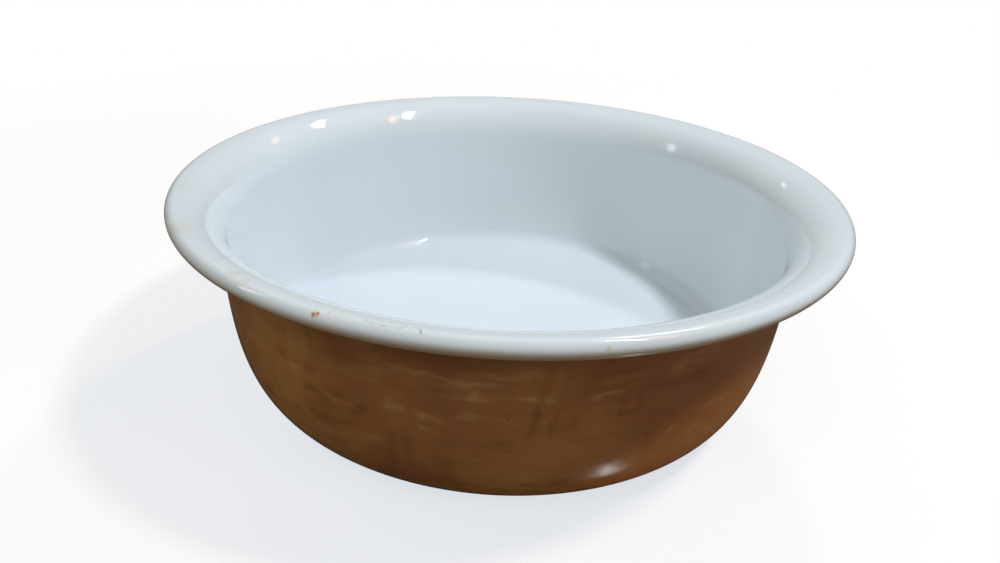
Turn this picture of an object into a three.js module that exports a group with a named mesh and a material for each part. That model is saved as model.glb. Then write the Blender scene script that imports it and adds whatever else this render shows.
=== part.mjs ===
// Porcelain bowl with a flared white rim, a white lining and a brushed brown wall.
// Millimetres, +Z up. The bowl stands on z = 0 and its axis is the Z axis.
import * as THREE from 'three';

// Driving dimensions of the glazed bowl
const rimDiameter = 240;
const bowlHeight = 78.6;
const lipThickness = 5.8;
const rimOverhang = 14.9;
const rimSlopeDegrees = 10;
const neckFilletRadius = 3;
const throatRadius = 16;
const wallThickness = 2.6;
const wallLeanDegrees = 9;
const floorThickness = 8;
const floorFilletRadius = 8;
const bellyInset = 22.7;
const footInset = 12.4;
const footWidth = 6;
const footHeight = 3.6;
const footChamfer = 0.6;
const glazeThickness = 0.5;
const glazeSetback = 1.5;
const bondGap = 0.02;

// How full the outside curve is: shares of its run at the belly and of its rise at the wall
const bellyFullness = 1.1;
const wallFullness = 0.237;

// Steps around the axis and along each curve of the section
const roundSegments = 60;
const wallSteps = 8;
const neckSteps = 2;
const floorFilletSteps = 4;
const lipSteps = 6;
const throatSteps = 5;
const searchSteps = 40;

// Radii that follow from the driving dimensions
const lipRadius = lipThickness / 2;
const neckRadius = rimDiameter / 2 - rimOverhang;
const floorRadius = neckRadius - bellyInset;
const footOuterRadius = floorRadius - footInset;
const footInnerRadius = footOuterRadius - footWidth;

// Directions in the section, where x is the radius and y is the height
const rimSlope = THREE.MathUtils.degToRad(rimSlopeDegrees);
const wallLean = THREE.MathUtils.degToRad(wallLeanDegrees);
const alongRim = new THREE.Vector2(Math.cos(rimSlope), Math.sin(rimSlope));
const rimNormal = new THREE.Vector2(-Math.sin(rimSlope), Math.cos(rimSlope));
const upWall = new THREE.Vector2(Math.sin(wallLean), Math.cos(wallLean));
const wallNormal = new THREE.Vector2(Math.cos(wallLean), -Math.sin(wallLean));
const rimNormalAngle = Math.PI / 2 + rimSlope;
const innerWallAngle = Math.PI - wallLean;

// The point a given distance from another along a direction
function stepFrom(point, direction, distance) {
  return point.clone().addScaledVector(direction, distance);
}

// The crossing of two lines, each given by a point and a direction
function crossing(pointA, directionA, pointB, directionB) {
  const between = pointB.clone().sub(pointA);
  const distance = between.cross(directionB) / directionA.cross(directionB);
  return stepFrom(pointA, directionA, distance);
}

// A point of the glazed surface, with the back of its glaze and the clay just under that
function glazed(surface, normal) {
  const back = stepFrom(surface, normal, -glazeThickness);
  const clay = stepFrom(back, normal, -bondGap);
  return { surface, back, clay };
}

// An arc of the section; bulge is 1 where the clay is on the centre's side and -1 where air is
function arcRun(centre, radius, startAngle, endAngle, steps, bulge) {
  const run = [];
  for (let step = 0; step <= steps; step += 1) {
    const angle = THREE.MathUtils.lerp(startAngle, endAngle, step / steps);
    const spoke = new THREE.Vector2(Math.cos(angle), Math.sin(angle));
    run.push(glazed(stepFrom(centre, spoke, radius), spoke.multiplyScalar(bulge)));
  }
  return run;
}

// Round lip at the top of the flared rim
const lipCentre = new THREE.Vector2(rimDiameter / 2 - lipRadius, bowlHeight - lipRadius);
const lipRun = arcRun(lipCentre, lipRadius, rimNormalAngle - Math.PI, rimNormalAngle, lipSteps, 1);

// Neck, where the outside of the wall turns out under the rim
const neckOnAxis = new THREE.Vector2(neckRadius, 0);
const underRim = stepFrom(lipCentre, rimNormal, -lipRadius);
const neckCorner = crossing(neckOnAxis, new THREE.Vector2(0, 1), underRim, alongRim);
const neckCentre = crossing(
  stepFrom(neckCorner, wallNormal, neckFilletRadius), upWall,
  stepFrom(underRim, rimNormal, -neckFilletRadius), alongRim,
);
const neckRun = arcRun(neckCentre, neckFilletRadius, innerWallAngle, rimNormalAngle, neckSteps, -1);

// Outside of the wall, from the edge of the flat underside round the belly to the neck
const wallTop = neckRun[0].surface;
const wallRise = wallTop.y - footHeight;
const wallCurve = new THREE.CubicBezierCurve(
  new THREE.Vector2(floorRadius, footHeight),
  new THREE.Vector2(THREE.MathUtils.lerp(floorRadius, wallTop.x, bellyFullness), footHeight),
  stepFrom(wallTop, upWall, -wallFullness * wallRise / Math.cos(wallLean)),
  wallTop,
);

// Flat underside and flat floor
const down = new THREE.Vector2(0, -1);
const up = new THREE.Vector2(0, 1);
const floorHeight = footHeight + floorThickness;
const baseCentre = glazed(new THREE.Vector2(0, footHeight), down);
const baseEdge = glazed(new THREE.Vector2(footInnerRadius - glazeSetback, footHeight), down);
const coatStart = glazed(new THREE.Vector2(footOuterRadius + glazeSetback, footHeight), down);
const undersideEdge = glazed(new THREE.Vector2(floorRadius, footHeight), down);
const floorCentre = glazed(new THREE.Vector2(0, floorHeight), up);

// Both faces of the wall at a share of the way up its outside curve, and the outward normal
function wallAt(share) {
  const outside = wallCurve.getPoint(share);
  const tangent = wallCurve.getTangent(share);
  const normal = new THREE.Vector2(tangent.y, -tangent.x);
  return { outside, inside: stepFrom(outside, normal, -wallThickness), normal };
}

// Direction of the outward normal at a share of the way up the wall
function normalAngleAt(share) {
  const { normal } = wallAt(share);
  return Math.atan2(normal.y, normal.x);
}

// Centre of an arc that touches the inside of the wall, at a distance into the bowl's hollow
function touchingCentre(share, distance) {
  const { inside, normal } = wallAt(share);
  return stepFrom(inside, normal, -distance);
}

// The share of the way up the wall where a test that holds at its foot stops holding
function shareWhereEnds(holds) {
  let below = 0;
  let above = 1;
  for (let step = 0; step < searchSteps; step += 1) {
    const middle = (below + above) / 2;
    if (holds(middle)) {
      below = middle;
    } else {
      above = middle;
    }
  }
  return below;
}

// Round corner that touches both the inside of the wall and the floor
const cornerHeight = floorHeight + floorFilletRadius;
const cornerShare = shareWhereEnds((share) => touchingCentre(share, floorFilletRadius).y < cornerHeight);
const cornerRun = arcRun(
  touchingCentre(cornerShare, floorFilletRadius), floorFilletRadius,
  normalAngleAt(cornerShare), -Math.PI / 2, floorFilletSteps, -1,
);

// Throat, which touches both the inside of the wall and the top of the rim
const onRim = stepFrom(lipCentre, rimNormal, lipRadius);
const depthUnderRim = (point) => onRim.clone().sub(point).dot(rimNormal);
const throatShare = shareWhereEnds(
  (share) => depthUnderRim(touchingCentre(share, -throatRadius)) > throatRadius,
);
const throatRun = arcRun(
  touchingCentre(throatShare, -throatRadius), throatRadius,
  rimNormalAngle, Math.PI + normalAngleAt(throatShare), throatSteps, 1,
);
const throatEnd = throatRun.at(-1);

// Both faces of the wall, the outside from the belly up and the inside from the throat down
const outsideRun = [];
const insideRun = [];
for (let step = 1; step < wallSteps; step += 1) {
  const share = step / wallSteps;
  const outer = wallAt(share);
  outsideRun.push(glazed(outer.outside, outer.normal));
  const inner = wallAt(THREE.MathUtils.lerp(cornerShare, throatShare, share));
  insideRun.unshift(glazed(inner.inside, inner.normal.negate()));
}

// The coats of glaze, each a run of the section from one edge to the other; brown meets white
// halfway round the neck
const neckMiddle = neckSteps / 2;
const baseRun = [baseCentre, baseEdge];
const wallRun = [undersideEdge, ...outsideRun, ...neckRun.slice(0, neckMiddle + 1)];
const coatRun = [coatStart, ...wallRun];
const rimRun = [...neckRun.slice(neckMiddle), ...lipRun, ...throatRun];
const liningRun = [throatEnd, ...insideRun, ...cornerRun, floorCentre];

// The surface and the back of a layer of glaze along its run, and the clay under it
const surfaceOf = (run) => run.map((point) => point.surface);
const backOf = (run) => run.map((point) => point.back);
const clayOf = (run) => run.map((point) => point.clay);

// The section of a layer that has two free edges, which returns to its first point
function bandSection(run) {
  return [...surfaceOf(run), ...backOf(run).reverse(), run[0].surface];
}

// Sections of the body, the lining and the base glaze, which start and end on the axis
const bodySection = [
  baseCentre.clay,
  ...clayOf(wallRun),
  ...clayOf(rimRun.slice(1)),
  ...clayOf(liningRun.slice(1)),
];
const liningSection = [...backOf(liningRun).reverse(), ...surfaceOf(liningRun)];
const baseSection = [...surfaceOf(baseRun), ...backOf(baseRun).reverse()];

// Section of the foot ring, with its two standing edges eased
const footTop = footHeight + glazeThickness;
const footSection = [
  new THREE.Vector2(footInnerRadius, footTop),
  new THREE.Vector2(footInnerRadius, footChamfer),
  new THREE.Vector2(footInnerRadius + footChamfer, 0),
  new THREE.Vector2(footOuterRadius - footChamfer, 0),
  new THREE.Vector2(footOuterRadius, footChamfer),
  new THREE.Vector2(footOuterRadius, footTop),
  new THREE.Vector2(footInnerRadius, footTop),
];

// Finishes, as the fired surfaces look
const finishes = {
  porcelain: new THREE.MeshStandardMaterial({ color: 0xe6e2d8, roughness: 0.75, metalness: 0 }),
  bareFoot: new THREE.MeshStandardMaterial({ color: 0xd9cfbd, roughness: 0.85, metalness: 0 }),
  lining: new THREE.MeshStandardMaterial({ color: 0xdbe6ee, roughness: 0.08, metalness: 0 }),
  rim: new THREE.MeshStandardMaterial({ color: 0xdde2e3, roughness: 0.12, metalness: 0 }),
  brownCoat: new THREE.MeshStandardMaterial({ color: 0x6b4223, roughness: 0.25, metalness: 0 }),
  base: new THREE.MeshStandardMaterial({ color: 0xdfe3e2, roughness: 0.15, metalness: 0 }),
};

const bowl = new THREE.Group();
bowl.name = 'porcelain_bowl';

// Turns a section about the bowl's axis and adds it to the bowl under its own name
function addTurned(name, section, material) {
  const geometry = new THREE.LatheGeometry(section, roundSegments);
  geometry.rotateX(Math.PI / 2);
  const mesh = new THREE.Mesh(geometry, material);
  mesh.name = name;
  bowl.add(mesh);
}

addTurned('porcelain_body', bodySection, finishes.porcelain);
addTurned('foot_ring', footSection, finishes.bareFoot);
addTurned('white_lining_glaze', liningSection, finishes.lining);
addTurned('white_rim_glaze', bandSection(rimRun), finishes.rim);
addTurned('brown_wall_coat', bandSection(coatRun), finishes.brownCoat);
addTurned('base_glaze', baseSection, finishes.base);

export default bowl;
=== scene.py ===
"""Looks of a porcelain bowl: a flared white rim, a white lining and a brushed brown wall."""

import math
from collections import namedtuple

import bpy
import numpy as np
from mathutils import Matrix, Quaternion, Vector


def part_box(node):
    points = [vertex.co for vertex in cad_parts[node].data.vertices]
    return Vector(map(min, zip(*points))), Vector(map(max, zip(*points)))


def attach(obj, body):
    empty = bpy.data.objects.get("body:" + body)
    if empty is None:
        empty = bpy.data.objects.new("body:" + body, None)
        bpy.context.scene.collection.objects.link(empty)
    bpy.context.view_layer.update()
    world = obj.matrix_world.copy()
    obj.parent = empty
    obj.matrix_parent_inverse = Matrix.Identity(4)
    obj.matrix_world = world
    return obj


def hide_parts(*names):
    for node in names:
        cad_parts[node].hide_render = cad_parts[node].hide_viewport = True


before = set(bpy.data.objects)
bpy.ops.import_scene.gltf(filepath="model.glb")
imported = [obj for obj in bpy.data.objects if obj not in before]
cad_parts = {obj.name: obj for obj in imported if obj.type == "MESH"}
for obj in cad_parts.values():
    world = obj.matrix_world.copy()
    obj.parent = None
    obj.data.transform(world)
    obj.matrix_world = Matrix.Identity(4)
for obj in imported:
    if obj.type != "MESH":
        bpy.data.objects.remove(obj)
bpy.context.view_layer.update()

bl_info = {
    "name": "Porcelain bowl",
    "version": (1, 0, 0),
    "blender": (4, 5, 0),
    "location": "View3D > Sidebar > Bowl",
    "description": "Turns the clay, foot and glazes of a porcelain bowl and lights it on a pale floor",
    "category": "Object",
}

MM = 0.001
ROOT_BODY = "root"

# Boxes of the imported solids, for the sizes that they already hold
RIM_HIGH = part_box("white_rim_glaze")[1]
COAT_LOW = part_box("brown_wall_coat")[0]
FOOT_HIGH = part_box("foot_ring")[1]
BASE_LOW, BASE_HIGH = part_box("base_glaze")

# Steps of the turned meshes, around the axis and along each stretch of the section
ROUND_STEPS = 288
WALL_STEPS = 56
NECK_STEPS = 10
NECK_MIDDLE = NECK_STEPS // 2
FLANGE_STEPS = 4
LIP_STEPS = 32
THROAT_STEPS = 36
FLOOR_FILLET_STEPS = 16
FLOOR_STEPS = 16
UNDERSIDE_STEPS = 8
FOOT_ROUND_STEPS = 6
SHARP_ANGLE = math.radians(40)

# Share of the glaze edges' wandering that is left at the neck, and how far in from an edge it reaches
NECK_WANDER = 0.25
WANDER_REACH = 5 * MM

# Waves of the hand-made unevenness: how many around the bowl, their share and their phase
Wave = namedtuple("Wave", "count share phase")
TRUENESS_WAVES = (Wave(2, 0.5, 0.4), Wave(3, 0.3, 1.9), Wave(5, 0.2, 0.7))
EDGE_WAVES = (Wave(4, 0.3, 1.1), Wave(11, 0.3, 2.6), Wave(23, 0.25, 0.3), Wave(41, 0.15, 4.0))

# Marks on the rim: angle from +X in degrees, radius and size in millimetres, and strength
RUST_SPECKS = (
    (-113.1, 118.9, 0.8, 0.9),
    (-112.6, 118.5, 0.8, 0.9),
    (-115.7, 116.1, 0.35, 0.5),
    (-106.3, 116.9, 0.4, 0.5),
    (-101.5, 117.3, 0.4, 0.5),
)
YELLOW_STAINS = (
    (-112.9, 118.7, 1.8, 0.55),
    (-111.3, 117.4, 1.3, 0.3),
    (-110.3, 117.3, 1, 0.2),
    (-77.1, 119.7, 0.9, 0.55),
    (-77.1, 119.1, 0.5, 0.3),
    (-148.0, 118.1, 7, 0.2),
    (-179.5, 105.1, 7, 0.08),
    (-167.4, 114.1, 7, 0.06),
    (-129.2, 116.4, 3.2, 0.18),
    (-126.0, 117.1, 3.4, 0.18),
    (-105.3, 117.6, 0.8, 0.25),
    (-103.6, 117.6, 0.8, 0.25),
    (-102.1, 117.5, 0.8, 0.25),
)

# Fine scratches on the rim: width in millimetres, strength, and the angle and radius of each bend
RIM_SCRATCHES = (
    (0.45, 0.25, ((-106.2, 117.3), (-103.9, 117.6), (-101.6, 117.4))),
    (0.4, 0.6, ((-99.5, 116.0), (-99.1, 117.8), (-98.8, 119.0))),
    (0.45, 0.4, ((-135.0, 115.7), (-135.0, 113.7), (-135.3, 111.4), (-137.0, 108.1))),
    (0.5, 0.25, ((-31.3, 112.3), (-30.7, 114.2))),
    (0.5, 0.25, ((-47.5, 113.6), (-47.2, 115.9))),
)

# Single strokes of the brush that stand out on the wall: angle from +X in degrees, height in
# millimetres, slant from the level in degrees, half width and half length in millimetres, and how far
# the stroke lifts the tone of the brown or, below 0, darkens it
FRONT_STROKES = (
    (-106.8, 26.6, 88, 1.8, 10, -0.30),
    (-103.8, 28.2, 90, 2.2, 11, -0.34),
    (-105.2, 27.6, 89, 1.0, 9, 0.10),
    (-82.8, 49.2, 78, 1.7, 15, -0.36),
    (-79.8, 50.2, 78, 1.4, 15, -0.28),
    (-81.2, 49.7, 78, 0.9, 13, 0.10),
    (-69.5, 47.6, 80, 1.3, 5, -0.3),
    (-68.2, 44.4, 10, 1.1, 3.4, -0.26),
    (-66.8, 47.4, 100, 1.3, 5, -0.3),
    (-127.0, 44.1, 5, 2.8, 9, 0.34),
    (-104.0, 42.5, 0, 3.2, 8, 0.32),
    (-99.0, 36.5, -18, 1.3, 7, 0.4),
    (-102.0, 57.2, -5, 1.0, 9, 0.3),
    (-89.0, 50.6, 0, 1.7, 14, 0.3),
    (-91.2, 43.9, 4, 1.4, 12, 0.3),
    (-94.2, 55.7, -3, 1.0, 10, 0.26),
    (-88.8, 58.5, -6, 1.1, 9, 0.26),
    (-71.2, 52.3, 14, 1.0, 12, 0.34),
    (-60.0, 31.9, 40, 1.5, 7, 0.3),
    (-93.5, 29.4, 3, 2.2, 11, 0.24),
    (-117.5, 40.0, -12, 1.4, 9, 0.3),
    (-126.8, 30.7, -20, 2.6, 8, 0.26),
    (-99.5, 21.1, 2, 1.6, 9, 0.2),
    (-111.8, 18.4, -8, 1.7, 8, 0.24),
    (-120.8, 53.5, 85, 3.2, 8, -0.18),
    (-133.5, 47.8, 20, 3.2, 7, -0.18),
    (-94.0, 60.1, 0, 2.2, 15, -0.22),
    (-96.5, 48.6, -4, 1.3, 11, -0.2),
    (-90.5, 33.8, 0, 2.4, 13, -0.2),
    (-74.2, 34.6, 4, 3.2, 13, -0.2),
    (-72.0, 44.0, 5, 1.3, 10, -0.16),
    (-113.2, 35.7, 60, 2.6, 6, -0.2),
)
BACK_STROKES = (
    (38.0, 34.0, 84, 2.2, 11, -0.35),
    (41.0, 34.0, 87, 1.8, 10, -0.3),
    (70.0, 48.0, 4, 1.4, 12, 0.3),
    (96.0, 30.0, -6, 1.7, 11, 0.3),
    (128.0, 42.0, 96, 2.2, 10, -0.35),
    (150.0, 52.0, -3, 1.2, 12, 0.3),
    (15.0, 25.0, 8, 1.8, 10, 0.28),
    (168.0, 27.0, 12, 2.4, 9, -0.22),
)

# Dark spots that the brush left: angle from +X in degrees, height and radius in millimetres
PIGMENT_SPOTS = ((-87.8, 44.1, 0.5), (-80.8, 57.1, 0.5), (-79.2, 58.8, 0.55))
PIGMENT_STRENGTH = 0.6

# How much the tone of the brown follows each layer of the brushwork
LAYER_WEIGHTS = {
    "patches": 0.36, "blotches": 0.18, "dabs": 0.16, "streaks": 0.13, "bristles": 0.06, "wisps": 0.14}

# Painted warm reflection and light low on the right of the wall: its direction and how far out along it the
# reflection begins and is full
REFLECTION_DIRECTION = (0.602, -0.487, -0.632)
REFLECTION_START = 49 * MM
REFLECTION_FULL = 58 * MM
REFLECTION_SHARE = 0.95

# The brush's sweep: how far it strays up and down, how it follows the wall's radius, how its two passes
# slant, how wide its dabs are and how far a single stroke strays
SWEEP_STRAY = 14 * MM
SWEEP_BEND = 0.7
RISING_SLANT = 0.10
FALLING_SLANT = -0.08
DAB_WIDTH = 5 * MM
STROKE_STRAY = 4 * MM

# How the gold of the brown comes in: with the side it faces, with its height and with its mottle
GOLD_BY_SIDE = 0.5
GOLD_BY_HEIGHT = -8.0
GOLD_AT_FOOT = 0.3
GOLD_MOTTLE = 2.2

# Painted shadow of the rim: how far down under the neck the brown is darkened, and how dark it is
NECK_SHADOW_BAND = (-12 * MM, 0.0)
NECK_SHADOW_SHARE = 0.6

# Bands over which the whites change, from the end of the throat and from the floor
THROAT_BAND = (-14 * MM, 12 * MM)
POOL_BAND = (12 * MM, 1 * MM)

# Bands of the rim's glaze: its flare and its underside, out from the neck's radius, and the painted shade
# on the lower lip and what lies under that, up from the bottom of the lip
FLARE_BAND = (7 * MM, 10 * MM)
UNDERSIDE_BAND = (1 * MM, 2 * MM)
LIP_SHADE_BAND = (4.4 * MM, 1.6 * MM)
UNDER_LIP_BAND = (0.6 * MM, 0.2 * MM)

# Height of a glaze's fine peel beside its slow waves, and of a clay's grain beside its width
PEEL_HEIGHT = 0.02
GRAIN_HEIGHT = 0.12

# Shares of a mark's size that keep its full strength, and how ragged a stain is beside its size
SPECK_CORE = 0.4
STAIN_CORE = 0.25
SCRATCH_CORE = 0.3
STAIN_RAGGEDNESS = 1.2

# Names of the pieces that mirror a catch lamp
RIM_PIECE = "flared_rim_glaze"
LINING_PIECE = "inside_glaze"
FLOOR_PIECE = "pale_floor"

# Lamps, by compass direction from +Y towards +X, height over the floor and turn of their width from
# the level; a studio lamp lights the bowl, and a catch lamp only shows as a small highlight in the
# piece that mirrors it
LAMP_DISTANCE = 1.2
Lamp = namedtuple("Lamp", "name azimuth elevation turn width height power colour mirror", defaults=(None,))
STUDIO_LAMPS = (
    Lamp("key_lamp", 99.5, 60.8, 0, 0.16, 0.18, 8.05, (0.97, 0.99, 1.0)),
    Lamp("back_lamp", 22.3, 45.1, 0, 0.12, 0.12, 3.28, (0.96, 0.99, 1.0)),
    Lamp("right_lamp", 120.0, 20.0, 0, 0.60, 0.60, 2.1, (1.0, 0.99, 0.95)),
    Lamp("front_lamp", 210.0, 45.0, 0, 0.60, 0.60, 2.05, (1.0, 1.0, 0.97)),
    Lamp("left_high_lamp", -90.0, 45.0, 0, 0.60, 0.60, 1.78, (1.0, 0.995, 0.84)),
    Lamp("left_lamp", -120.0, 20.0, 0, 0.60, 0.60, 1.08, (1.0, 0.995, 0.80)),
    Lamp("rear_lamp", -30.0, 20.0, 0, 0.60, 0.60, 1.28, (1.0, 0.99, 0.95)),
)
COOL_WHITE = (0.97, 0.99, 1.0)
WARM_ORANGE = (1.0, 0.45, 0.12)
PALE_BLUE = (0.8, 0.92, 1.0)
CATCH_LAMPS = (
    Lamp("catch_key", 97.3, 66.6, 40, 0.60, 0.052, 1.85, COOL_WHITE, RIM_PIECE),
    Lamp("catch_back", 34.1, 54.1, 0, 0.48, 0.052, 1.5, COOL_WHITE, RIM_PIECE),
    Lamp("catch_warm_key", 102.6, 57.4, 52, 0.60, 0.055, 0.65, WARM_ORANGE, RIM_PIECE),
    Lamp("catch_warm_back", 31.4, 42.7, 19, 0.34, 0.050, 0.22, WARM_ORANGE, RIM_PIECE),
    Lamp("catch_cool_left", -92.4, 33.3, 112, 0.50, 0.070, 0.6, PALE_BLUE, RIM_PIECE),
    Lamp("catch_cool_rear", -17.4, 31.7, 150, 0.16, 0.040, 0.06, PALE_BLUE, RIM_PIECE),
    Lamp("catch_low", 16.4, 62.6, 131, 1.80, 0.018, 2.3, COOL_WHITE, LINING_PIECE),
    Lamp("catch_low_warm", 22.5, 63.3, 141, 1.40, 0.016, 0.9, WARM_ORANGE, LINING_PIECE),
    Lamp("catch_low_cool", -78.9, 47.6, 134, 1.00, 0.080, 0.5, PALE_BLUE, LINING_PIECE),
    Lamp("catch_floor", 108.0, 59.5, 29, 0.30, 0.090, 6.0, COOL_WHITE, FLOOR_PIECE),
)


def length(label, description, default):
    """A size in metres."""
    return bpy.props.FloatProperty(
        name=label, description=description, default=default,
        min=0.0, precision=5, subtype="DISTANCE", unit="LENGTH",
    )


def turning(label, description, degrees):
    """An angle, given here in degrees and kept in radians."""
    return bpy.props.FloatProperty(
        name=label, description=description, default=math.radians(degrees),
        subtype="ANGLE", unit="ROTATION",
    )


def share(label, description, default):
    """A share from nothing to all."""
    return bpy.props.FloatProperty(
        name=label, description=description, default=default, min=0.0, max=1.0, subtype="FACTOR",
    )


def colour(label, description, default):
    """A linear colour."""
    return bpy.props.FloatVectorProperty(
        name=label, description=description, default=default, size=3, min=0.0, max=1.0, subtype="COLOR",
    )


class BowlSizes(bpy.types.PropertyGroup):
    """Sizes of the glazed bowl"""

    rim_radius: length("Rim radius", "From the axis to the outside of the lip", RIM_HIGH.x)
    bowl_height: length("Bowl height", "From the standing face to the top of the lip", RIM_HIGH.z)
    lip_thickness: length("Lip thickness", "Across the round lip and the flared rim", 5.8 * MM)
    rim_overhang: length("Rim overhang", "From the neck to the outside of the lip", 14.9 * MM)
    rim_slope: turning("Rim slope", "How steeply the flared rim rises outwards", 10)
    neck_fillet: length("Neck fillet", "Radius under the rim, outside", 3 * MM)
    throat_radius: length("Throat radius", "Radius where the wall turns out onto the rim, inside", 16 * MM)
    wall_thickness: length("Wall thickness", "Wall with its glazes, at the neck", 2.6 * MM)
    throat_clear: length("Throat clear", "From the end of the throat down to the wall's first ring", 1 * MM)
    wall_lean: turning("Wall lean", "How far the wall leans out at the neck", 9)
    floor_thickness: length("Floor thickness", "Floor with its glazes", 8.0 * MM)
    floor_fillet: length("Floor fillet", "Radius where the wall meets the floor, inside", 8 * MM)
    belly_inset: length("Belly inset", "From the neck in to the edge of the flat underside", 22.7 * MM)
    belly_fullness: bpy.props.FloatProperty(
        name="Belly fullness", description="How far the belly runs out before it rises", default=1.1)
    wall_fullness: share("Wall fullness", "How far down the wall keeps its lean", 0.237)
    foot_outer_radius: length("Foot outer radius", "Outside of the standing ring", FOOT_HIGH.x)
    foot_width: length("Foot width", "Across the standing ring", 6 * MM)
    foot_height: length("Foot height", "From the standing face to the underside", COAT_LOW.z)
    foot_rounding: length("Foot rounding", "Radius of the standing ring's edges", 1.3 * MM)
    glaze_thickness: length("Glaze thickness", "Each coat of glaze", BASE_HIGH.z - BASE_LOW.z)
    glaze_setback: length("Glaze setback", "Bare clay between the foot and each glaze", 1.5 * MM)
    bond_gap: length("Bond gap", "Between the back of a glaze and the clay", 0.02 * MM)
    unevenness: length("Unevenness", "How far the rim is out of true, as hand-made ware is", 0.3 * MM)
    edge_wander: length("Edge wander", "How far the edge of a glaze strays from its line", 0.7 * MM)


class BowlFinish(bpy.types.PropertyGroup):
    """Colours and marks of the fired surfaces"""

    lining_white: colour("Lining white", "Bluish white of the wall's inside", (0.71, 0.78, 0.815))
    pool_white: colour("Pool white", "Bluer white where the glaze pooled on the floor", (0.73, 0.80, 0.87))
    rim_white: colour("Rim white", "White of the rim", (0.71, 0.765, 0.81))
    # Colour of the painted shade and brown reflection on the lower lip and under the rim
    shaded_lip_brown: colour("Thin edge", "Where the rim's glaze thins out under the lip", (0.36, 0.27, 0.19))
    base_white: colour("Base white", "White under the bowl", (0.70, 0.74, 0.75))
    # Dark brown is also the colour of the painted shadow under the neck
    brown_dark: colour("Dark brown", "Where the brush left most pigment", (0.165, 0.062, 0.026))
    brown_spot: colour("Brown spot", "Single dark spots of pigment", (0.06, 0.022, 0.010))
    brown_red: colour("Red brown", "The redder side of the brushed coat", (0.245, 0.097, 0.039))
    brown_gold: colour("Golden brown", "The more golden side of the brushed coat", (0.345, 0.162, 0.048))
    # Painted warm reflection and light, low on the right of the wall
    reflected_orange: colour("Orange brown", "The warmer patch low on the wall", (0.43, 0.162, 0.040))
    brown_ochre: colour("Ochre", "Where the brush left least pigment", (0.44, 0.235, 0.100))
    golden_side: turning("Golden side", "Direction from +X of the more golden side", -140)
    clay: colour("Clay", "Fired clay under the glazes", (0.78, 0.74, 0.66))
    foot_clay: colour("Foot clay", "Bare clay of the standing ring", (0.66, 0.58, 0.46))
    rust: colour("Rust speck", "Iron specks that burnt through the rim", (0.42, 0.16, 0.03))
    yellow_stain: colour("Yellow stain", "Old stains on the rim", (0.60, 0.46, 0.20))
    grime: colour("Grime", "Dirt in scratches and on the foot", (0.30, 0.26, 0.22))
    glaze_ripple: length("Glaze ripple", "Height of the slow waves in the glaze", 0.05 * MM)
    brush_relief: length("Brush relief", "Height of the bristle marks", 0.02 * MM)
    bristle_pitch: length("Bristle pitch", "From one bristle mark to the next", 1.3 * MM)
    stroke_length: length("Stroke length", "Run of one bristle mark", 18 * MM)


class BowlStage(bpy.types.PropertyGroup):
    """Camera, light and floor"""

    camera_distance: length("Camera distance", "From the middle of the bowl to the camera", 317.567 * MM)
    camera_aim: length("Aim height", "Height over the floor that the camera turns about", 33.6 * MM)
    camera_elevation: turning("Camera elevation", "How far the camera looks down", 27.0012)
    camera_pan: turning("Camera pan", "How far the camera turns to the right", -2.4729)
    camera_roll: turning("Camera roll", "How far the camera tilts to the left", 3.0235)
    lens: bpy.props.FloatProperty(
        name="Lens", description="Focal length on a 36 mm sensor", default=28.8397, unit="CAMERA")
    lens_shift: bpy.props.FloatProperty(
        name="Lens shift", description="Sideways shift, as a share of the frame", default=0.03411)
    sky_colour: colour("Sky colour", "Soft light from all round", (0.95, 0.98, 1.0))
    sky_strength: share("Sky strength", "Level of the soft light from all round", 0.14)
    mirrored_share: share("Mirrored share", "How much of the sky and the floor shows in the glaze", 0.3)
    floor_colour: colour("Floor colour", "What the floor throws back of the light", (0.34, 0.29, 0.24))
    glow_colour: colour("Floor glow", "What the eye sees of the floor besides", (0.67, 0.71, 0.76))
    floor_roughness: share("Floor roughness", "How dull the floor's gloss is", 0.15)
    floor_gloss: share("Floor gloss", "How much the floor mirrors a lamp into the brown coat", 0.8)
    floor_width: length("Floor width", "Side of the square floor", 9.0)
    shadow_reach: length("Shadow reach", "How far from the axis the floor still shows shadow", 0.30)
    white_reach: length("White reach", "From here out the floor is plain white", 0.62)


def arc_run(centre, radius, start, end, steps, bulge):
    """Rows of points and normals on an arc; bulge is 1 where the clay is on the centre's side."""
    angles = np.linspace(start, end, steps + 1)
    spokes = np.column_stack((np.cos(angles), np.sin(angles)))
    return np.hstack((centre + spokes * radius, spokes * bulge))


def straight_run(start, end, normal, steps):
    """Rows of points and normals between two points, both left out."""
    shares = np.arange(1, steps)[:, None] / steps
    points = start + (end - start) * shares
    return np.hstack((points, np.tile(normal, (steps - 1, 1))))


def curve_run(corners, shares):
    """Rows of points and right-hand normals on a cubic curve, at shares of its run."""
    part = np.asarray(shares)[:, None]
    rest = 1 - part
    first, second, third, last = corners
    points = (rest**3 * first + 3 * rest**2 * part * second
              + 3 * rest * part**2 * third + part**3 * last)
    along = (rest**2 * (second - first) + 2 * rest * part * (third - second)
             + part**2 * (last - third))
    along /= np.linalg.norm(along, axis=1)[:, None]
    return np.column_stack((points, along[:, 1], -along[:, 0]))


def crossing(point_a, direction_a, point_b, direction_b):
    """The crossing of two lines, each given by a point and a direction."""
    matrix = np.column_stack((direction_a, -direction_b))
    return point_a + direction_a * np.linalg.solve(matrix, point_b - point_a)[0]


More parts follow.
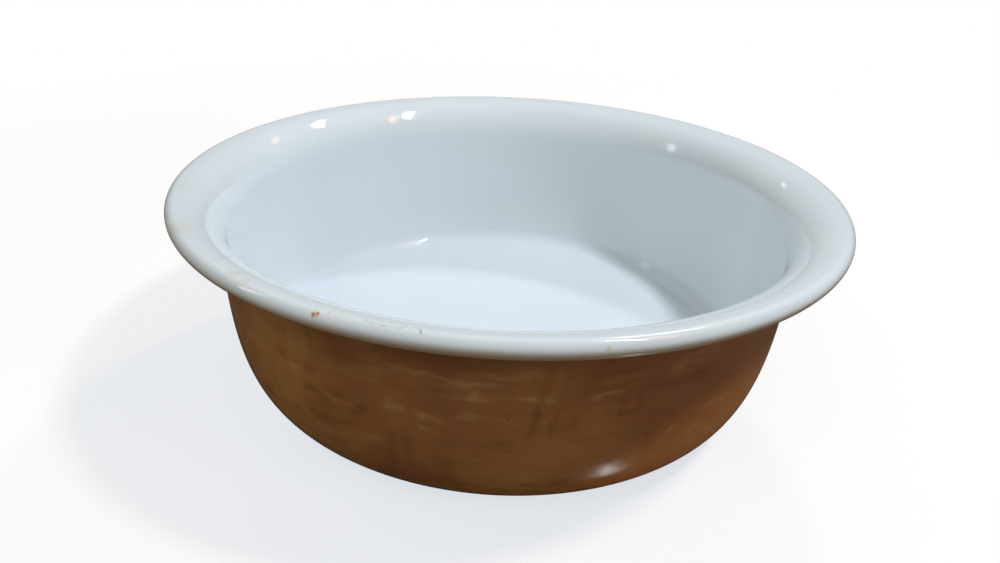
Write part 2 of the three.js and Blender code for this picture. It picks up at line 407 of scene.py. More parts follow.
class BowlSection:
    """The bowl's profile as runs of rows: radius, height and the outward normal."""

    def __init__(self, sizes):
        slope = sizes.rim_slope
        lean = sizes.wall_lean
        along_rim = np.array((math.cos(slope), math.sin(slope)))
        rim_normal = np.array((-math.sin(slope), math.cos(slope)))
        up_wall = np.array((math.sin(lean), math.cos(lean)))
        wall_normal = np.array((math.cos(lean), -math.sin(lean)))
        up = np.array((0.0, 1.0))
        rim_angle = math.pi / 2 + slope
        inner_angle = math.pi - lean
        lip_radius = sizes.lip_thickness / 2
        neck_radius = sizes.rim_radius - sizes.rim_overhang
        floor_radius = neck_radius - sizes.belly_inset
        floor_height = sizes.foot_height + sizes.floor_thickness

        lip_centre = np.array((sizes.rim_radius - lip_radius, sizes.bowl_height - lip_radius))
        lip = arc_run(lip_centre, lip_radius, rim_angle - math.pi, rim_angle, LIP_STEPS, 1)
        under_rim = lip_centre - rim_normal * lip_radius
        neck_corner = crossing(np.array((neck_radius, 0.0)), up, under_rim, along_rim)
        neck_centre = crossing(
            neck_corner + wall_normal * sizes.neck_fillet, up_wall,
            under_rim - rim_normal * sizes.neck_fillet, along_rim)
        neck = arc_run(neck_centre, sizes.neck_fillet, inner_angle, rim_angle, NECK_STEPS, -1)

        wall_top = neck[0, :2]
        rise = wall_top[1] - sizes.foot_height
        underside_edge = np.array((floor_radius, sizes.foot_height))
        belly_corner = np.array((
            floor_radius + (wall_top[0] - floor_radius) * sizes.belly_fullness, sizes.foot_height))
        wall_corner = wall_top - up_wall * sizes.wall_fullness * rise / math.cos(lean)
        corners = (underside_edge, belly_corner, wall_corner, wall_top)
        shares = np.linspace(0, 1, WALL_STEPS + 1)
        outside = curve_run(corners, shares)
        wall_inside = inner_face(outside, sizes)[::-1]

        centres = wall_inside[:, :2] - wall_inside[:, 2:] * sizes.throat_radius
        depths = (lip[-1, :2] - centres) @ rim_normal
        touch_share = np.interp(sizes.throat_radius, depths, shares[::-1])
        touch = inner_face(curve_run(corners, (touch_share,)), sizes)[0]
        throat = arc_run(
            touch[:2] - touch[2:] * sizes.throat_radius, sizes.throat_radius, rim_angle,
            math.atan2(touch[3], touch[2]), THROAT_STEPS, 1)
        flange_under = straight_run(neck[-1, :2], lip[0, :2], -rim_normal, FLANGE_STEPS)
        flange_top = straight_run(lip[-1, :2], throat[0, :2], rim_normal, FLANGE_STEPS)

        fillet_height = floor_height + sizes.floor_fillet
        centres = wall_inside[:, :2] + wall_inside[:, 2:] * sizes.floor_fillet
        clear = (centres[:, 1] > fillet_height) & (wall_inside[:, 1] < throat[-1, 1] - sizes.throat_clear)
        last = wall_inside[clear][-1]
        fillet_centre = np.array((last[0] + last[2] * sizes.floor_fillet, fillet_height))
        fillet = arc_run(
            fillet_centre, sizes.floor_fillet, math.atan2(-last[3], -last[2]), -math.pi / 2,
            FLOOR_FILLET_STEPS, -1)
        inside = np.vstack((wall_inside[clear], fillet[1:]))
        floor = straight_run(fillet[-1, :2], np.array((0.0, floor_height)), up, FLOOR_STEPS)

        coat_edge = np.array((sizes.foot_outer_radius + sizes.glaze_setback, sizes.foot_height))
        foot_inner_radius = sizes.foot_outer_radius - sizes.foot_width
        base_edge = np.array((foot_inner_radius - sizes.glaze_setback, sizes.foot_height))
        base_centre = np.array((0.0, sizes.foot_height))
        underside = straight_run(coat_edge, underside_edge, -up, UNDERSIDE_STEPS)
        base = straight_run(base_centre, base_edge, -up, FLOOR_STEPS)

        self.base = np.vstack((np.hstack((base_centre, -up)), base, np.hstack((base_edge, -up))))
        self.wall = np.vstack((outside, neck[1:NECK_MIDDLE + 1]))
        self.coat = np.vstack((np.hstack((coat_edge, -up)), underside, self.wall))
        self.rim = np.vstack((neck[NECK_MIDDLE:], flange_under, lip, flange_top, throat))
        self.lining = np.vstack((throat[-1], inside, floor, np.hstack(((0.0, floor_height), up))))
        self.rim_top = np.vstack((lip[lip[:, 3] >= 0], flange_top, throat))[::-1]
        self.neck_height = wall_top[1]
        self.neck_radius = neck_radius
        self.lip_low = lip_centre[1] - lip_radius
        self.throat_height = throat[-1, 1]
        self.floor_height = floor_height
        self.foot_inner_radius = foot_inner_radius


def inner_face(outside, sizes):
    """The inside of the wall, as rows, from the rows of its outside."""
    return np.hstack((beneath(outside, sizes.wall_thickness), -outside[:, 2:]))


def beneath(run, depth):
    """The points of a run, moved into the clay by a depth."""
    return run[:, :2] - run[:, 2:] * depth


def along_run(run):
    """The direction of travel along a run, from its normals."""
    return np.column_stack((-run[:, 3], run[:, 2]))


def neck_drift(run, at_start):
    """How the rows near the neck follow the wandering edge: less than those near the foot."""
    return edge_drift(run, at_start) * NECK_WANDER


def edge_drift(run, at_start):
    """How the rows near one end of a run follow the wandering edge: most at the end itself."""
    steps = np.linalg.norm(np.diff(run[:, :2], axis=0), axis=1)
    travelled = np.concatenate(((0.0,), np.cumsum(steps)))
    if not at_start:
        travelled = travelled[-1] - travelled
    return along_run(run) * np.clip(1 - travelled / WANDER_REACH, 0, 1)[:, None]


def wave_sum(waves, angles):
    """The sum of some waves around the bowl."""
    return sum(wave.share * np.cos(wave.count * angles + wave.phase) for wave in waves)


def turned_piece(name, sizes, outline, on_axis, drift=0.0):
    """A closed mesh turned about the bowl's axis.

    An outline that is on the axis starts and ends there; any other one closes on itself. The drift
    of each point is how far it follows the wandering edge of its glaze.
    """
    drift = np.broadcast_to(drift, outline.shape)
    angles = np.arange(ROUND_STEPS) * (2 * math.pi / ROUND_STEPS)
    wander = sizes.edge_wander * wave_sum(EDGE_WAVES, angles)
    rings = outline[:, None, :] + drift[:, None, :] * wander[None, :, None]
    radius = rings[..., 0]
    height = rings[..., 1]
    out_of_true = sizes.unevenness * wave_sum(TRUENESS_WAVES, angles)
    radius = radius * (1 + out_of_true * height / (sizes.bowl_height * sizes.rim_radius))
    points = np.stack((radius * np.cos(angles), radius * np.sin(angles), height), axis=-1)

    ring = np.arange(ROUND_STEPS)
    after = np.roll(ring, -1)
    if on_axis:
        poles = points[(0, -1), 0]
        points = points[1:-1]
    count = len(points)
    starts = np.arange(count) * ROUND_STEPS
    pairs = list(zip(starts, starts[1:]))
    if not on_axis:
        pairs.append((starts[-1], starts[0]))
    faces = []
    for low, high in pairs:
        faces.extend(np.column_stack((low + ring, low + after, high + after, high + ring)).tolist())
    vertices = points.reshape(-1, 3)
    if on_axis:
        first_pole = len(vertices)
        vertices = np.vstack((vertices, poles))
        first = np.full(ROUND_STEPS, first_pole)
        last = np.full(ROUND_STEPS, first_pole + 1)
        faces.extend(np.column_stack((first, after, ring)).tolist())
        faces.extend(np.column_stack((starts[-1] + ring, starts[-1] + after, last)).tolist())

    mesh = bpy.data.meshes.new(name)
    mesh.from_pydata(vertices.tolist(), [], faces)
    mesh.shade_smooth()
    mesh.set_sharp_from_angle(angle=SHARP_ANGLE)
    if mesh.validate():
        raise RuntimeError(f"the mesh of {name} has faulty faces")
    piece = bpy.data.objects.new(name, mesh)
    bpy.context.scene.collection.objects.link(piece)
    return piece


def glaze_coat(name, sizes, run, on_axis, drift):
    """A coat of glaze with its face on a run and its back in the clay."""
    outline = np.vstack((run[:, :2], beneath(run, sizes.glaze_thickness)[::-1]))
    return turned_piece(name, sizes, outline, on_axis, np.vstack((drift, drift[::-1])))


def dress(piece, node, material):
    """Gives a piece its material and puts it in the place of its solid."""
    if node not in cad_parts:
        raise RuntimeError(f"the packed bowl has no solid named {node}")
    piece.data.materials.append(material)
    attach(piece, ROOT_BODY)
    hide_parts(node)


WHITE = (1.0, 1.0, 1.0)

# Places of the factor and the two colours among the inputs of a mix node, and of its colour output
MIX_INPUTS = (0, 6, 7)
MIX_OUTPUT = 2


class Wires:
    """Adds nodes to one tree and joins them; an input is a socket or a plain value."""

    def __init__(self, tree):
        self.tree = tree

    def feed(self, socket, value):
        """Links a socket to an input, or sets its own value; a plain colour gets full alpha."""
        if isinstance(value, bpy.types.NodeSocket):
            self.tree.links.new(value, socket)
        elif socket.type == "RGBA":
            socket.default_value = (*value, 1.0)
        else:
            socket.default_value = value

    def node(self, kind, inputs=(), **settings):
        """A node with its settings and its inputs by name."""
        made = self.tree.nodes.new(kind)
        for setting, value in settings.items():
            setattr(made, setting, value)
        for label, value in dict(inputs).items():
            self.feed(made.inputs[label], value)
        return made

    def worked_out(self, kind, values, **settings):
        """The outputs of a node that takes its inputs in order."""
        made = self.node(kind, **settings)
        for socket, value in zip(made.inputs, values):
            self.feed(socket, value)
        return made.outputs

    def math(self, operation, *values, clamp=False):
        """A sum, product or other plain function of one, two or three values."""
        return self.worked_out("ShaderNodeMath", values, operation=operation, use_clamp=clamp)[0]

    def times(self, first, second):
        """A product."""
        return self.math("MULTIPLY", first, second)

    def times_plus(self, first, second, third):
        """A product and a third value added to it."""
        return self.math("MULTIPLY_ADD", first, second, third)

    def vector(self, operation, *values):
        """A function of vectors that gives a vector."""
        return self.worked_out("ShaderNodeVectorMath", values, operation=operation)["Vector"]

    def measure(self, operation, *vectors):
        """A function of vectors that gives a number, such as their distance."""
        return self.worked_out("ShaderNodeVectorMath", vectors, operation=operation)["Value"]

    def scaled(self, vector, factor):
        """A vector times a number."""
        made = self.node("ShaderNodeVectorMath", {"Scale": factor}, operation="SCALE")
        self.feed(made.inputs[0], vector)
        return made.outputs["Vector"]

    def parts(self, vector):
        """The three parts of a vector."""
        return self.node("ShaderNodeSeparateXYZ", {"Vector": vector}).outputs

    def joined(self, across, depth, height):
        """A vector from its three parts."""
        return self.node("ShaderNodeCombineXYZ", {"X": across, "Y": depth, "Z": height}).outputs[0]

    def noise(self, place, scale, detail=2.0, roughness=0.5):
        """Soft random values from 0 to 1, centred on a half."""
        inputs = {"Vector": place, "Scale": scale, "Detail": detail, "Roughness": roughness}
        return self.node("ShaderNodeTexNoise", inputs).outputs[0]

    def fade(self, value, start, end, low=0.0, high=1.0):
        """A smooth change from low to high as a value goes from start to end."""
        inputs = {"Value": value, "From Min": start, "From Max": end, "To Min": low, "To Max": high}
        made = self.node("ShaderNodeMapRange", inputs, interpolation_type="SMOOTHSTEP", clamp=True)
        return made.outputs[0]

    def fade_out(self, value, start, end):
        """A smooth change from 1 to 0 as a value goes from start to end."""
        return self.fade(value, start, end, low=1.0, high=0.0)

    def band(self, value, level, band, high=1.0):
        """A smooth change from 0 to high over a band that is measured from a level."""
        start, end = band
        return self.fade(value, level + start, level + end, high=high)

    def mix(self, factor, first, second, blend="MIX"):
        """A mix of two colours."""
        made = self.node("ShaderNodeMix", data_type="RGBA", blend_type=blend)
        for place, value in zip(MIX_INPUTS, (factor, first, second)):
            self.feed(made.inputs[place], value)
        return made.outputs[MIX_OUTPUT]

    def effect(self, group, **inputs):
        """The outputs of an effect's node group, placed with its own values."""
        return self.node("ShaderNodeGroup", inputs, node_tree=group()).outputs


# Inputs of the effects that are places or directions; every other one is a plain value
PLACES = ("Place", "Centre", "Start", "End", "Along", "Across")


def node_group(name, inputs, outputs):
    """Turns a function that wires an effect into one that gives its node group, built once."""
    inputs = inputs.split()
    outputs = outputs.split()

    def for_effect(wire):
        def group():
            if name in bpy.data.node_groups:
                return bpy.data.node_groups[name]
            tree = bpy.data.node_groups.new(name, "ShaderNodeTree")
            for label in inputs:
                kind = "NodeSocketVector" if label in PLACES else "NodeSocketFloat"
                tree.interface.new_socket(name=label, in_out="INPUT", socket_type=kind)
            for label in outputs:
                tree.interface.new_socket(name=label, in_out="OUTPUT", socket_type="NodeSocketFloat")
            wires = Wires(tree)
            given = wires.node("NodeGroupInput").outputs
            wanted = wires.node("NodeGroupOutput").inputs
            results = wire(wires, *(given[label] for label in inputs))
            for label, result in zip(outputs, results):
                wires.feed(wanted[label], result)
            return tree
        return group
    return for_effect


@node_group("Glaze skin", "Place Ripple", "Tone Height")
def glaze_skin(wires, place, ripple):
    """Slow waves, fine peel and soft tone of a fired glaze."""
    peel = wires.noise(place, scale=700.0, detail=1.0)
    wave = wires.times_plus(peel, PEEL_HEIGHT, wires.noise(place, scale=24.0, detail=1.5))
    return wires.noise(place, scale=16.0, detail=3.0), wires.times(wave, ripple)


@node_group("Fired specks", "Place Spacing Size Share", "Mask")
def fired_specks(wires, place, spacing, size, chance):
    """Small round specks, some in every part of the surface."""
    scale = wires.math("DIVIDE", 1.0, spacing)
    cells = wires.node("ShaderNodeTexVoronoi", {"Vector": place, "Scale": scale})
    distance = wires.times(cells.outputs["Distance"], spacing)
    speck = wires.fade_out(distance, wires.times(size, SPECK_CORE), size)
    kept = wires.math("LESS_THAN", wires.parts(cells.outputs["Color"])[0], chance)
    return (wires.times(speck, kept),)


@node_group("Stain", "Place Centre Size", "Mask")
def stain(wires, place, centre, size):
    """One ragged stain round a place."""
    distance = wires.measure("DISTANCE", place, centre)
    ragged = wires.math("SUBTRACT", wires.noise(place, scale=900.0, detail=2.0), 0.5)
    uneven = wires.times_plus(ragged, wires.times(size, STAIN_RAGGEDNESS), distance)
    return (wires.fade_out(uneven, wires.times(size, STAIN_CORE), size),)


@node_group("Scratch", "Place Start End Width", "Mask")
def scratch(wires, place, start, end, width):
    """One fine straight scratch between two places."""
    run = wires.vector("SUBTRACT", end, start)
    reach = wires.vector("SUBTRACT", place, start)
    part = wires.math(
        "DIVIDE", wires.measure("DOT_PRODUCT", reach, run), wires.measure("DOT_PRODUCT", run, run),
        clamp=True)
    nearest = wires.vector("ADD", start, wires.scaled(run, part))
    distance = wires.measure("DISTANCE", place, nearest)
    broken = wires.fade(wires.noise(place, scale=600.0, detail=2.0), 0.35, 0.6)
    line = wires.fade_out(distance, wires.times(width, SCRATCH_CORE), width)
    return (wires.times(line, broken),)


def stretched(wires, place, run, pitch):
    """A place counted in runs along the level and in pitches up the wall."""
    steps = (run, run, pitch)
    return wires.joined(*(wires.math("DIVIDE", *pair) for pair in zip(wires.parts(place), steps)))


@node_group("Brush marks", "Place Length Pitch", "Value")
def brush_marks(wires, place, run, pitch):
    """Streaks along the wall, of one length and one pitch."""
    return (wires.noise(stretched(wires, place, run, pitch), scale=1.0, detail=2.0),)


@node_group("Brush dabs", "Place Length Pitch", "Value")
def brush_dabs(wires, place, run, pitch):
    """Soft dabs of the brush, each of one tone."""
    inputs = {"Vector": stretched(wires, place, run, pitch), "Scale": 1.0, "Smoothness": 0.55}
    cells = wires.node("ShaderNodeTexVoronoi", inputs, feature="SMOOTH_F1")
    return (wires.parts(cells.outputs["Color"])[0],)


@node_group("Brush stroke", "Place Centre Along Across", "Mask")
def brush_stroke(wires, place, centre, along, across):
    """One stroke of the brush, soft at its sides and blunt at its ends."""
    reach = wires.vector("SUBTRACT", place, centre)
    ends = wires.math("POWER", wires.measure("DOT_PRODUCT", reach, along), 4.0)
    beside = wires.measure("DOT_PRODUCT", reach, across)
    return (wires.fade_out(wires.times_plus(beside, beside, ends), -0.3, 1.3),)


@node_group("Clay grain", "Place Grain", "Tone Height")
def clay_grain(wires, place, grain):
    """Fine grain of bare fired clay."""
    fine = wires.noise(place, wires.math("DIVIDE", 1.0, grain), detail=3.0, roughness=0.65)
    tone = wires.times(wires.math("ADD", fine, wires.noise(place, scale=60.0, detail=2.0)), 0.5)
    return tone, wires.times(wires.times(fine, grain), GRAIN_HEIGHT)


class Paint(Wires):
    """A new material, with its shader, the place on the bowl and the colours to paint it in."""

    def __init__(self, name, finish=None):
        self.material = bpy.data.materials.new(name)
        self.material.use_nodes = True
        super().__init__(self.material.node_tree)
        self.finish = finish
        self.shader = self.tree.nodes["Principled BSDF"]
        self.place = self.node("ShaderNodeTexCoord").outputs["Object"]

    def set(self, label, value):
        """Gives one of the shader's inputs its value."""
        self.feed(self.shader.inputs[label], value)

    def bend(self, height):
        """Bends the shader's normal by a height in metres."""
        bump = self.node("ShaderNodeBump", {"Height": height, "Distance": 1.0, "Strength": 1.0})
        self.set("Normal", bump.outputs["Normal"])

    def cloud(self, scale, detail, roughness=0.5):
        """Soft random values over the bowl."""
        return self.noise(self.place, scale, detail, roughness)

    def stained(self, tint, spots, stain_colour):
        """A tint with ragged stains of one colour, each given by its centre, size and strength."""
        for centre, size, strength in spots:
            mask = self.effect(stain, Place=self.place, Centre=centre, Size=size)["Mask"]
            tint = self.mix(self.times(mask, strength), tint, stain_colour)
        return tint

    def specked(self, tint, speck_colour, strength, spacing, size, chance):
        """A tint with scattered specks of one colour; chance is the share of places that have one."""
        specks = self.effect(fired_specks, Place=self.place, Spacing=spacing, Size=size, Share=chance)
        return self.mix(self.times(specks["Mask"], strength), tint, speck_colour)


def on_rim(section, angle, radius):
    """The point of the rim's top at an angle in degrees and a radius in millimetres."""
    radius = radius * MM
    height = np.interp(radius, section.rim_top[:, 0], section.rim_top[:, 1])
    turned = math.radians(angle)
    return (radius * math.cos(turned), radius * math.sin(turned), height)


def white_glaze(paint, tint):
    """The common part of the white glazes: tone, ripple, wear and a few pale specks."""
    finish = paint.finish
    skin = paint.effect(glaze_skin, Place=paint.place, Ripple=finish.glaze_ripple)
    shade = paint.fade(skin["Tone"], 0.3, 0.7, low=0.965)
    shades = {"Red": shade, "Green": shade, "Blue": paint.times_plus(shade, 0.8, 0.2)}
    toned = paint.mix(1.0, tint, paint.node("ShaderNodeCombineColor", shades).outputs[0], "MULTIPLY")
    paint.set("Roughness", paint.fade(paint.cloud(scale=60.0, detail=3.0), 0.4, 0.75, low=0.05, high=0.08))
    paint.set("IOR", 1.5)
    paint.bend(skin["Height"])
    return paint.specked(
        toned, finish.yellow_stain, strength=0.35, spacing=17 * MM, size=0.45 * MM, chance=0.35)


def inner_white(paint, section):
    """White that turns from the rim's on the flare to the bluer one of the inside."""
    height = paint.parts(paint.place)[2]
    above = paint.band(height, section.throat_height, THROAT_BAND)
    band_share = paint.band(height, section.floor_height, POOL_BAND)
    lower = paint.mix(band_share, paint.finish.lining_white, paint.finish.pool_white)
    return paint.mix(above, lower, paint.finish.rim_white)


def lining_material(finish, section):
    """Bluish white glaze of the inside, which meets the rim's white at the throat."""
    paint = Paint("white lining glaze", finish)
    paint.set("Base Color", white_glaze(paint, inner_white(paint, section)))
    return paint.material


def rim_spots(section, marks):
    """The centre, size and strength of each mark on the rim."""
    for angle, radius, size, strength in marks:
        yield on_rim(section, angle, radius), size * MM, strength


def rim_material(finish, section):
    """White glaze of the rim, with its rust specks, stains and scratches."""
    paint = Paint("white rim glaze", finish)
    across, depth, height = paint.parts(paint.place)
    radius = paint.measure("LENGTH", paint.joined(across, depth, 0.0))
    outer = paint.band(radius, section.neck_radius, FLARE_BAND)
    tint = white_glaze(paint, paint.mix(outer, inner_white(paint, section), finish.rim_white))
    # Painted shade and brown reflection: the lip turns darker and browner towards its underside and under
    # the rim
    lip_shade = paint.times(paint.band(height, section.lip_low, LIP_SHADE_BAND), outer)
    hidden = paint.band(height, section.lip_low, UNDER_LIP_BAND)
    under = paint.times(hidden, paint.band(radius, section.neck_radius, UNDERSIDE_BAND))
    tint = paint.mix(paint.math("MAXIMUM", lip_shade, under), tint, finish.shaded_lip_brown)
    tint = paint.stained(tint, rim_spots(section, YELLOW_STAINS), finish.yellow_stain)
    for width, strength, bends in RIM_SCRATCHES:
        places = [on_rim(section, *bend) for bend in bends]
        for start, end in zip(places, places[1:]):
            line = paint.effect(scratch, Place=paint.place, Start=start, End=end, Width=width * MM)
            tint = paint.mix(paint.times(line["Mask"], strength), tint, finish.grime)
    paint.set("Base Color", paint.stained(tint, rim_spots(section, RUST_SPECKS), finish.rust))
    return paint.material


def base_material(finish):
    """White glaze under the bowl, with more specks than the inside."""
    paint = Paint("base glaze", finish)
    glaze = white_glaze(paint, finish.base_white)
    paint.set("Base Color", paint.specked(
        glaze, finish.grime, strength=0.5, spacing=9 * MM, size=0.5 * MM, chance=0.5))
    return paint.material


def on_wall(section, angle, height):
    """The point of the wall's outside at an angle in degrees and a height in millimetres."""
    turned = math.radians(angle)
    outside = np.interp(height * MM, section.wall[:, 1], section.wall[:, 0])
    return Vector((outside * math.cos(turned), outside * math.sin(turned), height * MM))


def stroke_tone(paint, place, section, strokes):
    """The sum of what some strokes lift or darken."""
    tone = 0.0
    up = Vector((0.0, 0.0, 1.0))
    for angle, height, slant, half_width, half_length, lift in strokes:
        turned = math.radians(angle)
        level = Vector((-math.sin(turned), math.cos(turned), 0.0))
        rise = math.sin(math.radians(slant))
        run = math.cos(math.radians(slant))
        mark = paint.effect(
            brush_stroke, Place=place, Centre=on_wall(section, angle, height),
            Along=(level * run + up * rise) / (half_length * MM),
            Across=(up * run - level * rise) / (half_width * MM))
        tone = paint.times_plus(mark["Mask"], lift, tone)
    return tone


def brushwork(paint, section):
    """The layers of the brushed coat, from -1 to 1, and the sum of its single strokes."""
    across, depth, height = paint.parts(paint.place)
    radius = paint.measure("LENGTH", paint.joined(across, depth, 0.0))
    bend = paint.times(paint.math("SUBTRACT", paint.cloud(scale=18.0, detail=1.0), 0.5), SWEEP_STRAY)
    along = paint.math("ADD", paint.times_plus(radius, SWEEP_BEND, height), bend)
    rising = paint.joined(across, depth, paint.times_plus(across, RISING_SLANT, along))
    falling = paint.joined(across, depth, paint.times_plus(across, FALLING_SLANT, along))

    def marks(group, swept, run, pitch):
        value = paint.effect(group, Place=swept, Length=run, Pitch=pitch)["Value"]
        return paint.times_plus(value, 2.0, -1.0)

    stroke = paint.finish.stroke_length
    pitch = paint.finish.bristle_pitch
    level_dabs = marks(brush_dabs, falling, stroke, DAB_WIDTH)
    upright_dabs = marks(brush_dabs, rising, DAB_WIDTH, stroke)
    turned_dabs = paint.fade(paint.cloud(scale=42.0, detail=1.0), 0.53, 0.62)
    streaks = marks(brush_marks, rising, stroke, pitch * 1.6)
    layers = {
        "patches": marks(brush_marks, rising, run=30 * MM, pitch=15 * MM),
        "blotches": marks(brush_marks, falling, run=9 * MM, pitch=6 * MM),
        "dabs": paint.times_plus(turned_dabs, paint.math("SUBTRACT", upright_dabs, level_dabs), level_dabs),
        "streaks": streaks,
        "bristles": marks(brush_marks, falling, stroke * 0.8, pitch * 0.6),
        "wisps": paint.times(
            paint.fade(streaks, 0.15, 0.5), paint.fade(paint.cloud(scale=36.0, detail=1.0), 0.5, 0.62)),
    }

    ragged = paint.node("ShaderNodeTexNoise", {"Vector": paint.place, "Scale": 130.0, "Detail": 2.0})
    astray = paint.vector("SUBTRACT", ragged.outputs["Color"], (0.5, 0.5, 0.5))
    strayed = paint.vector("ADD", paint.place, paint.scaled(astray, STROKE_STRAY))
    front = stroke_tone(paint, strayed, section, FRONT_STROKES)
    back = stroke_tone(paint, strayed, section, BACK_STROKES)
    in_front = paint.math("LESS_THAN", depth, 0.0)
    strokes = paint.times_plus(in_front, paint.math("SUBTRACT", front, back), back)
    return layers, paint.times(strokes, paint.fade(streaks, -0.4, 0.4, low=0.5, high=0.75))


def brown_material(finish, section):
    """Brown pigment brushed over the wall in short strokes, under a clear glaze."""
    paint = Paint("brushed brown coat", finish)
    across, depth, height = paint.parts(paint.place)
    layers, strokes = brushwork(paint, section)
    tone = paint.math("ADD", strokes, 0.5)
    for name, weight in LAYER_WEIGHTS.items():
        tone = paint.times_plus(layers[name], weight, tone)

    golden = (math.cos(finish.golden_side), math.sin(finish.golden_side), 0.0)
    outward = paint.vector("NORMALIZE", paint.joined(across, depth, 0.0))
    facing = paint.times(paint.measure("DOT_PRODUCT", outward, golden), GOLD_BY_SIDE)
    lower = paint.times_plus(height, GOLD_BY_HEIGHT, GOLD_AT_FOOT)
    mottle = paint.math("SUBTRACT", paint.cloud(scale=24.0, detail=2.0), 0.5)
    gilding = paint.times_plus(mottle, GOLD_MOTTLE, paint.math("ADD", facing, lower))
    # Painted warm reflection and light: the brown turns orange low on the right of the wall
    toward_reflection = paint.measure("DOT_PRODUCT", paint.place, REFLECTION_DIRECTION)
    reflected_glow = paint.fade(toward_reflection, REFLECTION_START, REFLECTION_FULL, high=REFLECTION_SHARE)
    middle = paint.mix(paint.fade(gilding, 0.0, 0.9), finish.brown_red, finish.brown_gold)
    middle = paint.mix(reflected_glow, middle, finish.reflected_orange)
    tint = paint.mix(paint.fade(tone, 0.0, 0.5), finish.brown_dark, middle)
    tint = paint.mix(paint.fade(tone, 0.5, 1.1), tint, finish.brown_ochre)
    # Painted shadow of the rim's overhang: the brown darkens towards the neck
    band_share = paint.band(height, section.neck_height, NECK_SHADOW_BAND, high=NECK_SHADOW_SHARE)
    tint = paint.mix(band_share, tint, finish.brown_dark)
    spots = (
        (on_wall(section, angle, rise), size * MM, PIGMENT_STRENGTH) for angle, rise, size in PIGMENT_SPOTS)
    tint = paint.stained(tint, spots, finish.brown_spot)
    paint.set("Base Color", paint.specked(
        tint, finish.brown_dark, strength=0.4, spacing=16 * MM, size=0.5 * MM, chance=0.3))
    paint.set("Roughness", paint.fade(layers["streaks"], -0.5, 0.5, low=0.3, high=0.4))
    paint.set("Coat Weight", paint.fade(layers["dabs"], -0.5, 0.5, low=0.6, high=0.8))
    paint.set("Coat Roughness", 0.1)
    paint.set("Specular IOR Level", 0.0)
    relief = paint.times_plus(layers["bristles"], 0.5, layers["streaks"])
    paint.bend(paint.times(relief, finish.brush_relief))
    return paint.material


def bare_clay(paint, grain_size, dark_end, pale_end, smooth, rough):
    """The common part of the bare clays: grain, tone and a dull surface."""
    grain = paint.effect(clay_grain, Place=paint.place, Grain=grain_size)
    paint.set("Roughness", paint.fade(grain["Tone"], 0.3, 0.7, smooth, rough))
    paint.bend(grain["Height"])
    return paint.mix(
        paint.fade(grain["Tone"], dark_end, pale_end), paint.finish.foot_clay, paint.finish.clay)


def clay_material(finish):
    """Fired clay under the glazes."""
    paint = Paint("porcelain clay", finish)
    paint.set("Base Color", bare_clay(
        paint, grain_size=0.8 * MM, dark_end=0.35, pale_end=0.65, smooth=0.7, rough=0.85))
    return paint.material


def foot_material(sizes, finish):
    """Bare clay of the standing ring, rubbed grey where it stands."""
    paint = Paint("bare foot clay", finish)
    standing = paint.fade(paint.parts(paint.place)[2], 0.0, sizes.foot_rounding, low=0.75, high=0.0)
    worn = paint.fade(paint.cloud(scale=180.0, detail=4.0, roughness=0.6), 0.35, 0.65)
    rubbed = paint.times(standing, worn)
    clean = bare_clay(paint, grain_size=0.9 * MM, dark_end=0.3, pale_end=0.7, smooth=0.75, rough=0.9)
    paint.set("Base Color", paint.specked(
        paint.mix(rubbed, clean, finish.grime), finish.rust,
        strength=0.6, spacing=5 * MM, size=0.5 * MM, chance=0.3))
    return paint.material


def seen_rays(wires):
    """Masks for rays that the eye sends straight or through glass, and for those off a gloss."""
    path = wires.node("ShaderNodeLightPath").outputs
    straight = wires.math("MAXIMUM", path["Is Camera Ray"], path["Is Transmission Ray"])
    return straight, path["Is Glossy Ray"]


def floor_material(stage):
    """Pale floor that keeps the bowl's shadow near by and is plain white further off."""
    paint = Paint("pale floor")
    straight, glossy = seen_rays(paint)
    paper = paint.times(
        paint.fade(paint.cloud(scale=9.0, detail=2.0), 0.3, 0.7, low=0.99),
        paint.fade(glossy, 0.0, 1.0, low=1.0, high=stage.mirrored_share))
    paint.set("Base Color", paint.mix(1.0, stage.floor_colour, paper, "MULTIPLY"))
    paint.set("Roughness", stage.floor_roughness)
    paint.set("Specular IOR Level", paint.times(glossy, stage.floor_gloss))
    far = paint.fade(paint.measure("LENGTH", paint.place), stage.shadow_reach, stage.white_reach)
    glow = paint.node("ShaderNodeEmission", {"Color": stage.glow_colour, "Strength": straight}).outputs[0]
    white = paint.node("ShaderNodeEmission", {"Color": WHITE, "Strength": 1.0}).outputs[0]
    near_by = paint.worked_out("ShaderNodeAddShader", (paint.shader.outputs["BSDF"], glow))[0]
    blend = paint.worked_out("ShaderNodeMixShader", (paint.times(far, straight), near_by, white))[0]
    paint.feed(paint.tree.nodes["Material Output"].inputs["Surface"], blend)
    return paint.material


def made_from(context):
    """The sizes, the finish and the section that every piece is made from."""
    sizes = context.scene.bowl_sizes
    return sizes, context.scene.bowl_finish, BowlSection(sizes)


class BOWL_OT_clay(bpy.types.Operator):
    """Turn the clay body under the glazes"""

    bl_idname = "bowl.clay"
    bl_label = "Porcelain body"

    def execute(self, context):
        sizes, finish, section = made_from(context)
        run = np.vstack((section.base[:1], section.wall, section.rim[1:], section.lining[1:]))
        outline = beneath(run, sizes.glaze_thickness + sizes.bond_gap)
        piece = turned_piece("clay_body", sizes, outline, True)
        dress(piece, "porcelain_body", clay_material(finish))
        return {"FINISHED"}


